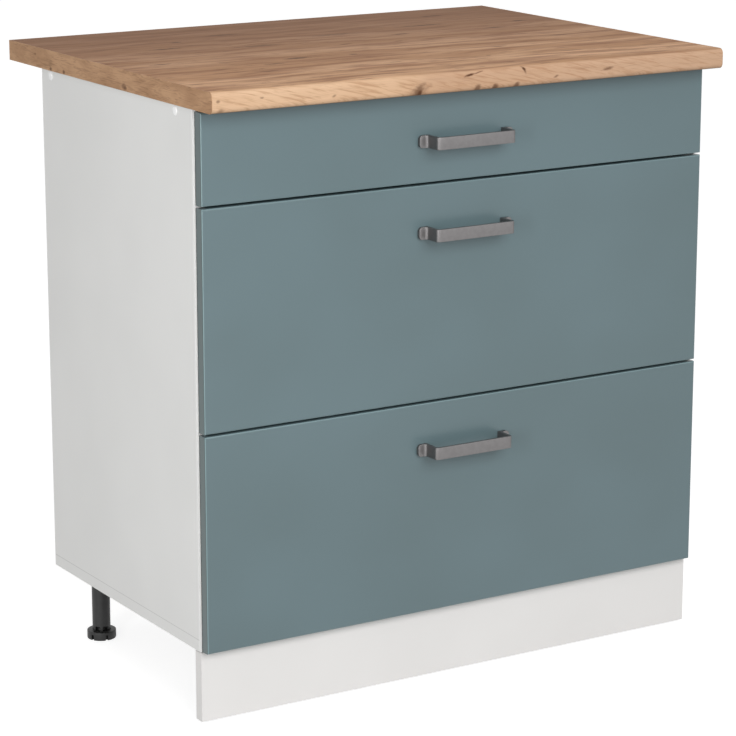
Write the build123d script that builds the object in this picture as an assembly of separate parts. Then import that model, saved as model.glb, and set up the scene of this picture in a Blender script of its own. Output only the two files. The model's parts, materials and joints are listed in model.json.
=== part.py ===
from build123d import *

import math
import os

# Base cabinet with three drawers under a deep worktop, standing on four adjustable legs.
# The origin is on the floor under the middle of the worktop: X along the front, Y towards
# the wall, Z up. Every size is in millimetres.

# --- carcass: melamine boards, the sides standing on the bottom panel ---
carcass_width = 800.0
carcass_height = 722.0
carcass_depth = 442.0
board = 16.0
front_rail_width = 94.0
rear_rail_width = 54.0
back_thickness = 3.0
back_groove_depth = 6.0
back_groove_inset = 10.0  # rear edges of the boards to the groove
back_play = 0.2  # each side of the back panel in its groove

# --- worktop: one board, postformed nose, a decor band on each cut end ---
worktop_depth = 600.0
worktop_thickness = 28.0
worktop_front_overhang = 38.0  # beyond the faces of the drawer fronts
worktop_side_overhang = 2.0
worktop_nose_radius = 7.0
end_band = 0.8

# --- drawer fronts: one shallow, two deep and equal ---
front_thickness = 16.0
front_side_reveal = 2.0
front_gap = 3.0  # between fronts, and under the worktop
front_bottom_reveal = 1.0
top_front_height = 120.0
front_edge_radius = 2.5
buffer_gap = 1.5  # carcass edge to the back of a front

# --- handles: flat die-cast bows ---
handle_bar_length = 124.0
handle_height = 17.0
handle_projection = 31.5
handle_strip = 4.0
handle_flange_length = 12.0
handle_flange_thickness = 5.0
handle_drop = 64.0  # top edge of the front to the middle of the handle

# --- legs, plinth and its clips ---
leg_height = 100.0
front_leg_side_inset = 50.0  # further in, so that the plinth hides them
rear_leg_side_inset = 42.0
leg_end_inset = 60.0  # from the front and rear edges of the carcass
leg_tube_radius = 13.0
leg_tube_wall = 3.7
leg_plate_width = 60.0
leg_plate_thickness = 4.0
leg_bore_depth = 70.0
foot_radius = 20.8
foot_height = 12.0
foot_spindle_length = 46.0
foot_notches = 6
foot_notch_width = 4.0
foot_notch_depth = 4.5
foot_notch_height = 8.0
foot_pocket_length = 5.0
foot_pocket_width = 7.0
foot_pocket_depth = 3.5
foot_pocket_spread = 22.0  # degrees from the middle of a pair to each pocket
foot_pocket_pairs = 2
foot_turn = 17.0  # degrees that the rear left foot happens to be turned
plinth_thickness = 16.0
plinth_floor_gap = 3.0
plinth_top_gap = 1.0  # under the bottom panel
plinth_setback = 15.0  # face of the drawer fronts to the face of the plinth
clip_height = 14.0
clip_wall = 2.4
clip_plate_width = 40.0
clip_lip = 3.0  # narrowing of the mouth on each side
clip_reach = 8.0  # the jaw ends this far behind the leg's middle

# --- roller runners and the folded drawer sides ---
runner_sheet = 1.2
runner_step = 50.0  # runners come in lengths that are multiples of this
runner_rise = 15.0  # bottom edge of a front to the underside of its runners
channel_height = 30.0
channel_lip = 2.5
roller_width = 6.0
roller_offset = 2.5  # web of the cabinet member to the roller
front_roller_radius = 12.0
track_play = 0.3
track_slack = 1.3
axle_radius = 3.0
axle_play = 0.08
axle_end = 0.6  # beyond the roller
member_gap = 0.8  # lip of the cabinet member to the drawer's web
drawer_lift = 2.0  # underside of the runner to the underside of the drawer
drawer_wall_gap = 3.0
drawer_flange = 18.0
drawer_rim = 6.0
overlap_kept = 100.0  # length of runner that stays engaged when a drawer is fully out
side_heights = (54.0, 86.0, 118.0, 150.0)

# --- drawer boards and fittings ---
drawer_board = 16.0
drawer_board_play = 1.0
bracket_sheet = 1.5
bracket_leg = 20.0
bracket_arm = 30.0

# --- places worked out from the sizes ---
half_width = carcass_width / 2
inner_x = half_width - board
worktop_half_width = half_width + worktop_side_overhang
front_y = worktop_front_overhang - worktop_depth / 2
front_back_y = front_y + front_thickness
carcass_front_y = front_back_y + buffer_gap
carcass_rear_y = carcass_front_y + carcass_depth
carcass_bottom_z = leg_height
carcass_top_z = leg_height + carcass_height
inner_floor_z = carcass_bottom_z + board
rail_bottom_z = carcass_top_z - board
groove_width = back_thickness + 2 * back_play
groove_rear_y = carcass_rear_y - back_groove_inset
groove_front_y = groove_rear_y - groove_width

fronts_top_z = carcass_top_z - front_gap
fronts_bottom_z = carcass_bottom_z + front_bottom_reveal
deep_front_height = (fronts_top_z - fronts_bottom_z - top_front_height - 2 * front_gap) / 2

front_leg_x = half_width - front_leg_side_inset
rear_leg_x = half_width - rear_leg_side_inset
front_leg_y = carcass_front_y + leg_end_inset
rear_leg_y = carcass_rear_y - leg_end_inset
plinth_face_y = front_y + plinth_setback
plinth_back_y = plinth_face_y + plinth_thickness
plinth_top_z = leg_height - plinth_top_gap

runner_room = groove_front_y - carcass_front_y - 4 * runner_sheet
runner_length = runner_step * math.floor(runner_room / runner_step)
travel = runner_length - overlap_kept
member_front_y = carcass_front_y + 2 * runner_sheet
drawer_rear_y = front_back_y + runner_length

# Distances inwards from the carcass side, shared by both members of a runner.
roller_near = runner_sheet + roller_offset
roller_far = roller_near + roller_width
lip_near = roller_far + member_gap
web_near = lip_near + runner_sheet + member_gap
web_far = web_near + runner_sheet
board_near = web_far + drawer_board_play

# Heights above the underside of the runner.
rear_roller_radius = (channel_height - 2 * runner_sheet - track_play - track_slack) / 2
rear_roller_z = runner_sheet + track_play + rear_roller_radius
step_z = channel_height + member_gap
front_roller_z = step_z - track_play - front_roller_radius
drawer_board_z = drawer_lift + runner_sheet
drawer_floor_z = drawer_board_z + drawer_board
front_roller_y = member_front_y + 1.5 * front_roller_radius
rear_roller_y = drawer_rear_y - rear_roller_radius - runner_sheet


def block(low, high):
    """A rectangular block between two opposite corners."""
    size = [b - a for a, b in zip(low, high)]
    middle = [(a + b) / 2 for a, b in zip(low, high)]
    return Pos(*middle) * Box(*size)


def rod(start, direction, length, radius):
    """A round rod, or the drill that makes its hole."""
    return extrude(Plane(origin=start, z_dir=direction) * Circle(radius), amount=length)


def along_y(section, rear_y, length):
    """A section drawn in X and Z, run forwards from its rear end."""
    plane = Plane(origin=(0, rear_y, 0), x_dir=(1, 0, 0), z_dir=(0, -1, 0))
    return extrude(plane * section, amount=length)


def folded_sheet(points, sheet):
    """The section of a folded sheet from its middle line, with one flat across each bend."""
    middle = Polyline(*points)
    return trace(chamfer(middle.vertices()[1:-1], sheet), sheet)


def both_sides(piece):
    """A piece and its mirror image on the other side of the cabinet."""
    return piece + mirror(piece, about=Plane.YZ)


def runner_levels():
    """The underside of each drawer's runners, with the bottom and top of its front."""
    levels = {}
    bottom = fronts_bottom_z
    for name in ("bottom", "middle"):
        levels[name] = (bottom + runner_rise, bottom, bottom + deep_front_height)
        bottom += deep_front_height + front_gap
    levels["top"] = (bottom + runner_rise, bottom, fronts_top_z)
    return levels


# --- carcass ---

def side_panel():
    """The left side, with the groove that holds the back."""
    panel = block(
        (-half_width, carcass_front_y, inner_floor_z),
        (-inner_x, carcass_rear_y, carcass_top_z),
    )
    return panel - block(
        (-inner_x - back_groove_depth, groove_front_y, inner_floor_z),
        (-inner_x, groove_rear_y, carcass_top_z),
    )


def bottom_panel():
    panel = block(
        (-half_width, carcass_front_y, carcass_bottom_z),
        (half_width, carcass_rear_y, inner_floor_z),
    )
    groove_half = inner_x + back_groove_depth
    return panel - block(
        (-groove_half, groove_front_y, inner_floor_z - back_groove_depth),
        (groove_half, groove_rear_y, inner_floor_z),
    )


def rail(front_rail_y, width):
    """A flat rail between the sides, grooved where the back panel passes it."""
    piece = block(
        (-inner_x, front_rail_y, rail_bottom_z),
        (inner_x, front_rail_y + width, carcass_top_z),
    )
    return piece - block(
        (-inner_x, groove_front_y, rail_bottom_z),
        (inner_x, groove_rear_y, rail_bottom_z + back_groove_depth),
    )


def back_panel():
    half = inner_x + back_groove_depth - back_play
    return block(
        (-half, groove_front_y + back_play, inner_floor_z - back_groove_depth),
        (half, groove_rear_y - back_play, rail_bottom_z + back_groove_depth - back_play),
    )


# --- worktop ---

def worktop_section():
    """The board's section across its depth, with the nose rounded above and below."""
    outline = make_face(
        Polyline(
            (-worktop_depth / 2, carcass_top_z),
            (worktop_depth / 2, carcass_top_z),
            (worktop_depth / 2, carcass_top_z + worktop_thickness),
            (-worktop_depth / 2, carcass_top_z + worktop_thickness),
            close=True,
        )
    )
    nose = outline.vertices().sort_by(Axis.X)[:2]
    radius = min(worktop_nose_radius, 0.49 * worktop_thickness)
    return fillet(nose, radius)


def worktop_piece(low_x, high_x):
    """A length of the worktop's section between two cuts."""
    plane = Plane(origin=(low_x, 0, 0), x_dir=(0, 1, 0), z_dir=(1, 0, 0))
    return extrude(plane * worktop_section(), amount=high_x - low_x)


def worktop():
    core = worktop_half_width - end_band
    return worktop_piece(-core, core)


# --- legs ---

def leg_places():
    return {
        "front_left": (-front_leg_x, front_leg_y),
        "front_right": (front_leg_x, front_leg_y),
        "rear_left": (-rear_leg_x, rear_leg_y),
        "rear_right": (rear_leg_x, rear_leg_y),
    }


def leg(x, y):
    """A moulded leg: its screw plate and threaded tube are one piece."""
    plate_bottom = carcass_bottom_z - leg_plate_thickness
    half = leg_plate_width / 2
    plate = block(
        (x - half, y - half, plate_bottom),
        (x + half, y + half, carcass_bottom_z),
    )
    bottom = foot_height + track_play
    tube = rod((x, y, bottom), (0, 0, 1), plate_bottom - bottom, leg_tube_radius)
    bore = leg_tube_radius - leg_tube_wall
    return plate + tube - rod((x, y, bottom), (0, 0, 1), leg_bore_depth, bore)


def foot(x, y, turn):
    """The castellated disc and its spindle. Turning it screws the leg up or down.

    The disc has notches round its lower rim, and pairs of pockets just outside the tube.
    """
    spindle = leg_tube_radius - leg_tube_wall - track_play
    piece = rod((0, 0, 0), (0, 0, 1), foot_height, foot_radius)
    piece += rod((0, 0, foot_height), (0, 0, 1), foot_spindle_length, spindle)
    notch = block(
        (foot_radius - foot_notch_depth, -foot_notch_width / 2, 0),
        (foot_radius + foot_notch_depth, foot_notch_width / 2, foot_notch_height),
    )
    for index in range(foot_notches):
        piece -= Rot(0, 0, index * 360 / foot_notches) * notch
    pocket = block(
        (leg_tube_radius, -foot_pocket_width / 2, foot_height - foot_pocket_depth),
        (leg_tube_radius + foot_pocket_length, foot_pocket_width / 2, foot_height),
    )
    for pair in range(foot_pocket_pairs):
        middle = 180 / foot_notches + pair * 360 / foot_pocket_pairs
        for angle in (middle - foot_pocket_spread, middle + foot_pocket_spread):
            piece -= Rot(0, 0, angle) * pocket
    return Pos(x, y, 0) * Rot(0, 0, turn) * piece


# --- plinth ---

def plinth():
    return block(
        (-half_width, plinth_face_y, plinth_floor_gap),
        (half_width, plinth_back_y, plinth_top_z),
    )


def plinth_clip(x, y):
    """A moulded clip on the back of the plinth, open behind to snap on the leg's tube."""
    grip = leg_tube_radius + back_play
    jaw_half = grip + clip_wall
    plate_y = plinth_back_y + clip_wall
    body = Pos(x, (plate_y + y + clip_reach) / 2) * Rectangle(2 * jaw_half, y + clip_reach - plate_y)
    plate = Pos(x, plinth_back_y + clip_wall / 2) * Rectangle(clip_plate_width, clip_wall)
    mouth = Pos(x, y + grip) * Rectangle(2 * grip - 2 * clip_lip, 2 * grip)
    section = body + plate - Pos(x, y) * Circle(grip) - mouth
    low_z = (plinth_floor_gap + plinth_top_z - clip_height) / 2
    return extrude(Pos(0, 0, low_z) * section, amount=clip_height)


def plinth_clips():
    return both_sides(plinth_clip(-front_leg_x, front_leg_y))


# --- runners ---

def cabinet_member(runner_z):
    """The left channel that the rear roller runs in, with the axle of its front roller."""
    web = runner_sheet / 2
    low = runner_z + web
    high = runner_z + channel_height - web
    lip = lip_near + web
    lip_top = runner_z + runner_sheet + channel_lip
    lower = folded_sheet([(web, high), (web, low), (lip, low), (lip, lip_top)], runner_sheet)
    rear_y = member_front_y + runner_length
    channel = along_y(lower, rear_y, runner_length)
    roof_front_y = front_roller_y + front_roller_radius + 2 * runner_sheet
    channel += block(
        (web, roof_front_y, high - web),
        (roller_far, rear_y, high + web),
    )
    stop_y = rear_roller_y - travel - rear_roller_radius - track_play
    channel += block(
        (roller_near, stop_y - runner_sheet, runner_z + rear_roller_z),
        (roller_far, stop_y, high),
    )
    pin = roller_far + axle_end - runner_sheet
    start = (runner_sheet, front_roller_y, runner_z + front_roller_z)
    channel += rod(start, (1, 0, 0), pin, axle_radius)
    return Pos(-inner_x, 0, 0) * channel


def roller(y, z, radius):
    """A plain nylon roller on the left side."""
    start = (roller_near - inner_x, y, z)
    wheel = rod(start, (1, 0, 0), roller_width, radius)
    return wheel - rod(start, (1, 0, 0), roller_width, axle_radius + axle_play)


# --- drawers ---

def side_height(name):
    """The tallest stock side that clears what is above the drawer."""
    runner_z, _, front_top = runner_levels()[name]
    above = rail_bottom_z if name == "top" else front_top
    room = above - runner_z - drawer_lift - 2 * runner_sheet
    return max(height for height in side_heights if height <= room)


def drawer_side(name):
    """The left side: board flange, runner web, step over the front roller, wall, rim."""
    runner_z, _, _ = runner_levels()[name]
    half = runner_sheet / 2
    flange_z = runner_z + drawer_lift + half
    shelf_z = runner_z + step_z + half
    top_z = runner_z + drawer_lift + side_height(name) - half
    wall = drawer_wall_gap + half
    web = web_near + half
    section = folded_sheet(
        [
            (web + drawer_flange, flange_z),
            (web, flange_z),
            (web, shelf_z),
            (wall, shelf_z),
            (wall, top_z),
            (wall + drawer_rim, top_z),
            (wall + drawer_rim, top_z - 0.8 * drawer_rim),
        ],
        runner_sheet,
    )
    side = along_y(section, drawer_rear_y, runner_length)
    side += block(
        (wall, drawer_rear_y - runner_sheet, shelf_z + 2 * runner_sheet),
        (web + drawer_flange, drawer_rear_y, top_z - drawer_rim),
    )
    pin = web_near - roller_near + axle_end
    start = (web_near, rear_roller_y, runner_z + rear_roller_z)
    side += rod(start, (-1, 0, 0), pin, axle_radius)
    return Pos(-inner_x, 0, 0) * side


def bracket_span(name):
    """The lowest and highest point of a front bracket inside the drawer's wall."""
    runner_z, _, _ = runner_levels()[name]
    low = runner_z + step_z + 3 * runner_sheet
    high = runner_z + drawer_lift + side_height(name) - 1.5 * drawer_rim
    return low, high


def front_bracket(name):
    """A bent angle: one leg on the back of the front, one along the drawer's wall."""
    low, high = bracket_span(name)
    wall = drawer_wall_gap + runner_sheet - inner_x
    half = bracket_sheet / 2
    angle = folded_sheet(
        [
            (wall + bracket_leg, front_back_y + half),
            (wall + half, front_back_y + half),
            (wall + half, front_back_y + bracket_arm),
        ],
        bracket_sheet,
    )
    return extrude(Pos(0, 0, low) * angle, amount=high - low)


def drawer_floor(name):
    runner_z, _, _ = runner_levels()[name]
    half = inner_x - board_near
    return block(
        (-half, front_back_y, runner_z + drawer_board_z),
        (half, drawer_rear_y - runner_sheet, runner_z + drawer_floor_z),
    )


def drawer_back(name):
    runner_z, _, _ = runner_levels()[name]
    half = inner_x - board_near
    rear_y = drawer_rear_y - runner_sheet
    return block(
        (-half, rear_y - drawer_board, runner_z + drawer_floor_z),
        (half, rear_y, runner_z + drawer_lift + side_height(name) - drawer_rim),
    )


def drawer_front(name):
    """A foil-wrapped front: rounded at its face, square at its back."""
    _, low, high = runner_levels()[name]
    half = half_width - front_side_reveal
    front = block((-half, front_y, low), (half, front_back_y, high))
    face_edges = front.faces().sort_by(Axis.Y)[0].edges()
    return fillet(face_edges, min(front_edge_radius, 0.45 * front_thickness))


def handle_outline():
    """The bow seen from above, standing on the X axis: flanges, legs and bar."""
    outer = handle_bar_length / 2
    tip = outer + handle_flange_length
    inner = outer - handle_strip
    crown = handle_projection - handle_strip
    bow = make_face(
        Polyline(
            (-tip, 0),
            (-tip, handle_flange_thickness),
            (-outer, handle_flange_thickness),
            (-outer, handle_projection),
            (outer, handle_projection),
            (outer, handle_flange_thickness),
            (tip, handle_flange_thickness),
            (tip, 0),
            (inner, 0),
            (inner, crown),
            (-inner, crown),
            (-inner, 0),
            close=True,
        )
    )
    rounds = {
        (outer, handle_flange_thickness): handle_strip,
        (outer, handle_projection): 1.25 * handle_strip,
    }
    for (x, y), radius in rounds.items():
        corners = [
            v for v in bow.vertices() if abs(abs(v.X) - x) < 0.01 and abs(v.Y - y) < 0.01
        ]
        bow = fillet(corners, radius)
    return bow


def handle(name):
    """The bow in its place on the front, with round ends to its flanges."""
    _, _, front_top = runner_levels()[name]
    bow = extrude(handle_outline(), amount=handle_height / 2, both=True)
    length = handle_bar_length + 2 * handle_flange_length
    face = Plane.XZ * RectangleRounded(length, handle_height, 0.25 * handle_height)
    bow &= extrude(face, amount=-handle_projection)
    place = Plane(origin=(0, front_y, front_top - handle_drop), x_dir=(-1, 0, 0), z_dir=(0, 0, 1))
    return place.location * bow


# --- the whole cabinet ---

def cabinet_parts():
    parts = {
        "worktop": worktop(),
        "worktop_end_bands": both_sides(
            worktop_piece(-worktop_half_width, end_band - worktop_half_width)
        ),
        "side_left": side_panel(),
        "side_right": mirror(side_panel(), about=Plane.YZ),
        "bottom_panel": bottom_panel(),
        "front_rail": rail(carcass_front_y, front_rail_width),
        "rear_rail": rail(carcass_rear_y - rear_rail_width, rear_rail_width),
        "back_panel": back_panel(),
        "legs": Compound([leg(x, y) for x, y in leg_places().values()]),
        "plinth": plinth(),
        "plinth_clips": plinth_clips(),
    }
    turns = {"front_left": 2.0, "front_right": 1.3, "rear_left": 1.0, "rear_right": 0.4}
    for name, (x, y) in leg_places().items():
        parts["foot_" + name] = foot(x, y, foot_turn * turns[name])
    return parts


def drawer_parts(name):
    runner_z, _, _ = runner_levels()[name]
    side = drawer_side(name)
    return {
        name + "_runners": both_sides(cabinet_member(runner_z)),
        name + "_front_rollers": both_sides(
            roller(front_roller_y, runner_z + front_roller_z, front_roller_radius)
        ),
        name + "_rear_rollers": both_sides(
            roller(rear_roller_y, runner_z + rear_roller_z, rear_roller_radius)
        ),
        name + "_drawer_front": drawer_front(name),
        name + "_drawer_side_left": side,
        name + "_drawer_side_right": mirror(side, about=Plane.YZ),
        name + "_drawer_floor": drawer_floor(name),
        name + "_drawer_back": drawer_back(name),
        name + "_drawer_brackets": both_sides(front_bracket(name)),
        name + "_handle": handle(name),
    }


def main():
    os.makedirs("parts", exist_ok=True)
    parts = cabinet_parts()
    for name in runner_levels():
        parts.update(drawer_parts(name))
    for name, shape in parts.items():
        export_step(shape, "parts/" + name + ".step")
    print(len(parts), "pieces, runners", runner_length, "mm long, travel", travel, "mm")
    print("Deep fronts", deep_front_height, "mm high, sides", [side_height(n) for n in runner_levels()])


main()
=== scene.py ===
# %% [markdown]
# # A base cabinet with three drawers, dressed in Blender
#
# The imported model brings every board, runner and handle at its real size and place. This lesson
# gives each of them its finish, adds the small fasteners, and remodels the few pieces whose
# moulded or cast shape needs more than plain solids: the handles, the legs and their feet.
# Everything is in metres: X runs along the front, Y towards the wall and Z up.

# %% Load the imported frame
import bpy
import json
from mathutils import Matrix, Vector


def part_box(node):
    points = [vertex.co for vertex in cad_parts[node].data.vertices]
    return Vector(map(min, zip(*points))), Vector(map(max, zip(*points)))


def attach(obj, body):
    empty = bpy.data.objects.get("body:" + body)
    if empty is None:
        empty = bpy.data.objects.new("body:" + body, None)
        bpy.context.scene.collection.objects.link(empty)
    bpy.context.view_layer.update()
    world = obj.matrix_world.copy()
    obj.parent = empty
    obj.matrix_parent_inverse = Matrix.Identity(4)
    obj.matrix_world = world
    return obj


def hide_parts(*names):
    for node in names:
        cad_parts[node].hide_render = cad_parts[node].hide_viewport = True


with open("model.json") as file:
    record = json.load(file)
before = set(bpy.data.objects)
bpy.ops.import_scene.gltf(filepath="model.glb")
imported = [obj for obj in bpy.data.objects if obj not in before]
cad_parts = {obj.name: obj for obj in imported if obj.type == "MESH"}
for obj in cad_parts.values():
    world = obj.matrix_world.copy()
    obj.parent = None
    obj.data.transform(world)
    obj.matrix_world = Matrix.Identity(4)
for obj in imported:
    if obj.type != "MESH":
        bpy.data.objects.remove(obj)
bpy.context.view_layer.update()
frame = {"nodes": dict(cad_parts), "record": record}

import json
import math

import bpy
from mathutils import Matrix, Vector

MM = 0.001
LEVELS = ("top", "middle", "bottom")

# %% [markdown]
# ## Camera
#
# A cabinet picture is usually taken from about chest height with a long lens, so that upright
# edges stay nearly upright. The place and lens were solved from the photographed corners of the
# worktop and fronts, whose real sizes are known. The lens isn't shifted, because other views keep
# the shift.

# %% Camera
LENS_MM = 137.89
EYE = (-2.053, -3.360, 1.360)
LOOKS_DOWN, LOOKS_RIGHT = 13.935, 31.546

def in_scene(name, data):
    """A new object of the scene that shows this mesh, lamp or camera."""
    thing = bpy.data.objects.new(name, data)
    bpy.context.scene.collection.objects.link(thing)
    return thing


camera_data = bpy.data.cameras.new("camera")
camera_data.sensor_width = 36.0
camera_data.lens = LENS_MM
camera_data.clip_end = 100.0
camera = in_scene("camera", camera_data)
camera.location = EYE
camera.rotation_euler = (math.radians(90 - LOOKS_DOWN), 0.0, math.radians(-LOOKS_RIGHT))
bpy.context.scene.camera = camera
print("Camera at", EYE, "lens", LENS_MM, "mm")

# %% [markdown]
# ## Helpers for colours and nodes
#
# A colour is written as the sRGB hex value that a paint chart would give, and one function turns
# it into the linear light that shaders work in. A second function adds a node, sets it and links
# it, so that a material reads as a list of steps. The others are for what several finishes share:
# a grain of a real size, a tint under a mask, and a coat with its relief.

# %% Colour and node helpers
def linear(hex_colour):
    """The linear colour of an sRGB hex value, with full alpha."""
    channels = [int(hex_colour[i:i + 2], 16) / 255 for i in (1, 3, 5)]
    return [c / 12.92 if c <= 0.04045 else ((c + 0.055) / 1.055) ** 2.4 for c in channels] + [1.0]


def link(tree, source, socket):
    """Feeds a socket from an output, or from the first output of a node."""
    tree.links.new(source.outputs[0] if isinstance(source, bpy.types.Node) else source, socket)


def add(tree, kind, inputs=None, **settings):
    """Adds a node. Its inputs, by name or number, take a value or whatever feeds them."""
    node = tree.nodes.new(kind)
    for name, value in settings.items():
        setattr(node, name, value)
    for socket, value in (inputs or {}).items():
        if isinstance(value, (bpy.types.Node, bpy.types.NodeSocket)):
            link(tree, value, node.inputs[socket])
        else:
            node.inputs[socket].default_value = value
    return node


def finish(name, **uniform):
    """A new material with the shader values that are the same all over it."""
    material = bpy.data.materials.new(name)
    material.use_nodes = True
    shader = material.node_tree.nodes["Principled BSDF"]
    for socket, value in uniform.items():
        shader.inputs[socket.replace("_", " ")].default_value = value
    return material, material.node_tree, shader


MIX_FACTOR, MIX_A, MIX_B, MIX_COLOUR = 0, 6, 7, 2


def tinted(tree, colour, mask, amount, tint):
    """The colour pulled towards a tint where the mask is."""
    strength = add(tree, "ShaderNodeMath", {0: mask, 1: amount}, operation="MULTIPLY")
    return add(
        tree, "ShaderNodeMix",
        {MIX_FACTOR: strength, MIX_A: colour, MIX_B: linear(tint)},
        data_type="RGBA",
    ).outputs[MIX_COLOUR]


def grain(tree, place, size_mm, detail=3.0, roughness=0.55, distortion=0.0):
    """Noise whose cells measure size_mm along X, Y and Z."""
    scale = [1 / (side * MM) for side in size_mm]
    stretched = add(tree, "ShaderNodeMapping", {"Vector": place, "Scale": scale})
    return add(
        tree, "ShaderNodeTexNoise",
        {
            "Vector": stretched, "Scale": 1.0, "Detail": detail,
            "Roughness": roughness, "Distortion": distortion,
        },
    ).outputs["Fac"]


def clouds(tree, place, size_mm, low, high, detail=3.0, **shape):
    """Noise brought to 0 where it is below low, and to 1 where it is above high."""
    noise = grain(tree, place, size_mm, detail, **shape)
    return add(
        tree, "ShaderNodeMapRange",
        {"Value": noise, "From Min": low, "From Max": high},
        interpolation_type="SMOOTHSTEP",
    )


def coat(tree, shader, colour, height, depth_mm):
    """Gives the surface its colour and a fine relief of this depth."""
    link(tree, colour, shader.inputs["Base Color"])
    bump = {"Height": height, "Distance": depth_mm * MM, "Strength": 1.0}
    link(tree, add(tree, "ShaderNodeBump", bump), shader.inputs["Normal"])


print("Mid grey #808080 is", round(linear("#808080")[0], 3), "in linear light")

# %% [markdown]
# ## Studio: floor, background and lamps
#
# The photograph is a cut-out on white with hardly any shadow. The floor and the world show white
# to the camera, and in reflections, through Light Path, so no extra light falls on the cabinet
# for it. The floor keeps a soft contact shadow. The world gives an even fill, a large soft lamp
# high in front gives most of the rest, and weak ones from the left and overhead lift what faces
# them. A narrow upright lamp between front and left draws the bright line along every rounded edge
# that faces that corner. It stands low, because upright edges seen from above mirror what lies
# below eye level.

# %% Floor, world and lamps
def seen_directly(tree):
    """1 for rays from the camera, a mirror or through glass, 0 for the light that bounces."""
    path = add(tree, "ShaderNodeLightPath")
    rays = path.outputs["Is Camera Ray"]
    for other in ("Is Glossy Ray", "Is Transmission Ray"):
        rays = add(
            tree, "ShaderNodeMath",
            {0: rays, 1: path.outputs[other]},
            operation="ADD", use_clamp=True,
        )
    return rays


WORLD_FILL = 0.44
FLOOR_SIDE = 60.0
FLOOR_GLOW = 0.81
WHITE = (1.0, 1.0, 1.0, 1.0)

world = bpy.data.worlds.new("studio")
world.use_nodes = True
sky = world.node_tree
fill = add(sky, "ShaderNodeBackground", {"Color": WHITE, "Strength": WORLD_FILL})
white = add(sky, "ShaderNodeBackground", {"Color": WHITE, "Strength": 1.0})
either = add(sky, "ShaderNodeMixShader", {0: seen_directly(sky), 1: fill, 2: white})
link(sky, either, sky.nodes["World Output"].inputs["Surface"])
bpy.context.scene.world = world
bpy.context.scene.view_settings.view_transform = "Standard"

bpy.ops.mesh.primitive_plane_add(size=FLOOR_SIDE, location=(0.0, 0.0, 0.0))
floor = bpy.context.object
floor.name = "floor"
floor_paint, floor_tree, floor_shader = finish(
    "floor_pale_matt", Base_Color=linear("#A8A8A8"), Roughness=1.0, Specular_IOR_Level=0.0
)
lit = add(floor_tree, "ShaderNodeBsdfDiffuse", {"Color": linear("#B4B4B4")})
glow = add(floor_tree, "ShaderNodeEmission", {"Color": WHITE, "Strength": FLOOR_GLOW})
shown = add(floor_tree, "ShaderNodeAddShader", {0: lit, 1: glow})
floor_mix = add(
    floor_tree, "ShaderNodeMixShader", {0: seen_directly(floor_tree), 1: floor_shader, 2: shown}
)
link(floor_tree, floor_mix, floor_tree.nodes["Material Output"].inputs["Surface"])
floor.data.materials.append(floor_paint)


LAMPS_AIM = Vector((0.0, 0.0, 0.45))


def softbox(name, place, width, height, watts):
    """A soft rectangular lamp that looks at the middle of the cabinet."""
    data = bpy.data.lights.new(name, "AREA")
    data.shape = "RECTANGLE"
    data.size = width
    data.size_y = height
    data.energy = watts
    lamp = in_scene(name, data)
    lamp.location = place
    lamp.rotation_euler = (LAMPS_AIM - lamp.location).to_track_quat("-Z", "Y").to_euler()
    print(name, watts, "W at", place)


softbox("front_softbox", (-0.1, -3.4, 2.1), 3.0, 2.0, 75.0)
softbox("left_softbox", (-3.4, 0.4, 2.2), 2.0, 1.6, 4.0)
# On the rounded edges of the fronts its bright line is helped by a painted highlight in the foil.
softbox("corner_softbox", (-2.4, -1.65, 0.85), 0.35, 1.5, 24.0)
softbox("top_softbox", (-0.3, 0.2, 3.4), 2.2, 2.2, 6.0)

# %% [markdown]
# ## Worktop: oak decor laminate
#
# The worktop is particle board with a printed and pressed laminate that wraps over the rounded
# front. A scan of wood could be used, but a procedural grain has no seams and fits any size. The
# print's X runs along the board. Its second direction follows the surface from the top over the
# nose, as the sheet does when it is bent. Several widths of noise, each stretched along X, give
# patches, streaks and pores, and a few marks are set one by one where an oak board has knots.

# %% Oak helpers
WAVE = 9.0


def gently_waved(tree, flat):
    """Coordinates on the sheet, waved across its length so that no streak is a ruled line."""
    wave = grain(tree, flat, (260, 90, 1000), detail=1.0)
    shift = add(
        tree, "ShaderNodeMapRange",
        {
            "Value": wave, "From Min": 0.25, "From Max": 0.75, "To Min": -WAVE * MM,
            "To Max": WAVE * MM,
        },
        interpolation_type="SMOOTHSTEP",
    )
    axes = add(tree, "ShaderNodeSeparateXYZ", {0: flat}).outputs
    waved = add(tree, "ShaderNodeMath", {0: axes["Y"], 1: shift}, operation="ADD")
    return add(tree, "ShaderNodeCombineXYZ", {"X": axes["X"], "Y": waved})


def mark(tree, colour, place, tint, x_mm, y_mm, length_mm, width_mm, turn, depth):
    """The colour with an oval mark on the sheet, which fades out over its ragged edge."""
    oval = add(
        tree, "ShaderNodeMapping",
        {
            "Vector": place, "Location": (x_mm * MM, y_mm * MM, 0),
            "Rotation": (0, 0, math.radians(turn)),
            "Scale": (length_mm * MM / 2, width_mm * MM / 2, 1),
        },
        vector_type="TEXTURE",
    )
    ball = add(tree, "ShaderNodeTexGradient", {"Vector": oval}, gradient_type="SPHERICAL")
    ragged = grain(tree, place, (9, 5, 9), 4.0)
    edge = add(
        tree, "ShaderNodeMapRange",
        {"Value": ragged, "From Min": 0.3, "From Max": 0.7, "To Min": -0.16, "To Max": 0.16},
        interpolation_type="SMOOTHSTEP",
    )
    inside = add(tree, "ShaderNodeMath", {0: ball.outputs["Fac"], 1: edge}, operation="ADD")
    mask = add(
        tree, "ShaderNodeMapRange",
        {"Value": inside, "From Min": 0.14, "From Max": 0.85},
        interpolation_type="SMOOTHSTEP",
    )
    return tinted(tree, colour, mask, depth, tint)


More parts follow.
